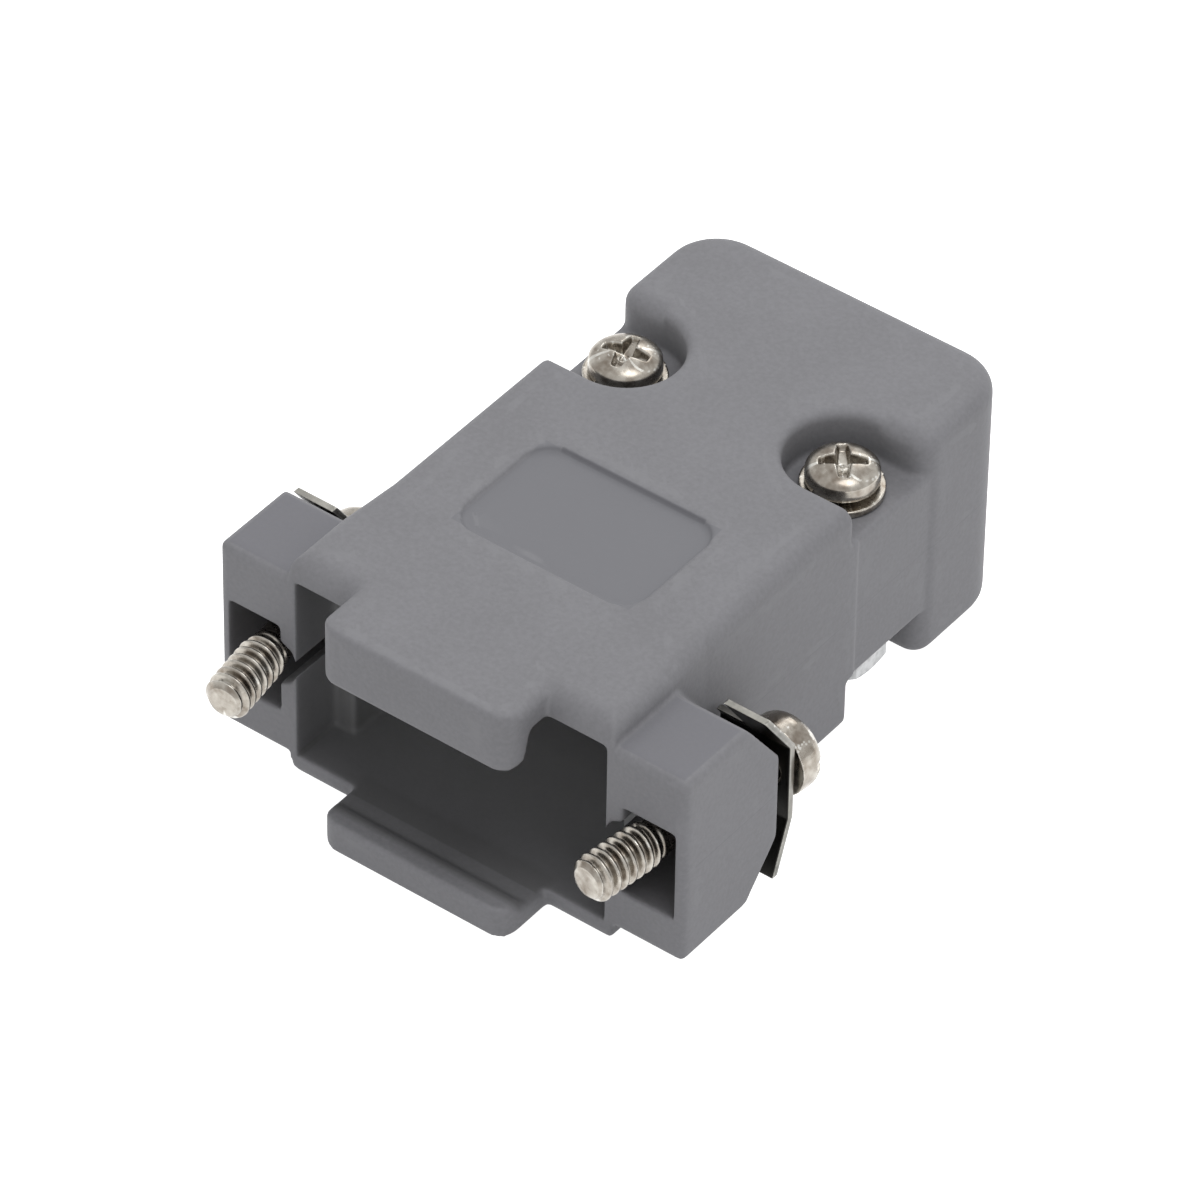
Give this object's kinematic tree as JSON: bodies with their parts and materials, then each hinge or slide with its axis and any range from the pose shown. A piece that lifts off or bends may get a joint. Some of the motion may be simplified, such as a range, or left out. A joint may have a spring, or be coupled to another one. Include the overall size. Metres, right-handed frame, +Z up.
{
  "type": "d-sub hood",
  "caption": "Two-shell plastic hood with a flanged connector opening, captive jackscrews in side ears, screw pockets and a round cable exit.",
  "frame": {"origin": "middle of the mating face, on the plane of the ears' front faces, where the connector's flange sits", "axes": "+X to the right when looking into the cable exit's direction, +Y from the mating face back to the cable exit, +Z up through the shell with the label field; z = 0 is the parting plane"},
  "size_m": [0.034, 0.0429, 0.0166],
  "materials": {
    "shell": "fine satin moulded grey",
    "nickel": "bright nickel plate",
    "plate": "nickel-plated sheet steel",
    "zinc": "zinc-plated steel"
  },
  "bodies": {
    "hood": {"upper_shell": "shell", "lower_shell": "shell", "assembly_screw_left": "nickel", "assembly_screw_right": "nickel", "lock_washer_left": "nickel", "lock_washer_right": "nickel", "assembly_nut_left": "zinc", "assembly_nut_right": "zinc", "clamp_upper": "zinc", "clamp_lower": "zinc", "clamp_screw_left": "zinc", "clamp_screw_right": "zinc", "clamp_nut_left": "zinc", "clamp_nut_right": "zinc"},
    "plate_left": {"jackscrew_plate_left": "plate"},
    "screw_left": {"jackscrew_left": "nickel"},
    "plate_right": {"jackscrew_plate_right": "plate"},
    "screw_right": {"jackscrew_right": "nickel"}
  },
  "joints": [
    {"name": "plate_left_play", "type": "slide", "parent": "hood", "child": "plate_left", "axis": [0, 1, 0], "range_m": [-0.00009, 0.0009]},
    {"name": "jackscrew_left_spin", "type": "hinge", "parent": "plate_left", "child": "screw_left", "pos_m": [-0.01269, -0.00287, 0], "axis": [-0.1392, 0.9903, 0], "continuous": true},
    {"name": "plate_right_play", "type": "slide", "parent": "hood", "child": "plate_right", "axis": [0, 1, 0], "range_m": [-0.00085, 0.0001]},
    {"name": "jackscrew_right_spin", "type": "hinge", "parent": "plate_right", "child": "screw_right", "pos_m": [0.01269, -0.00197, 0], "axis": [0.1392, 0.9903, 0], "continuous": true}
  ]
}
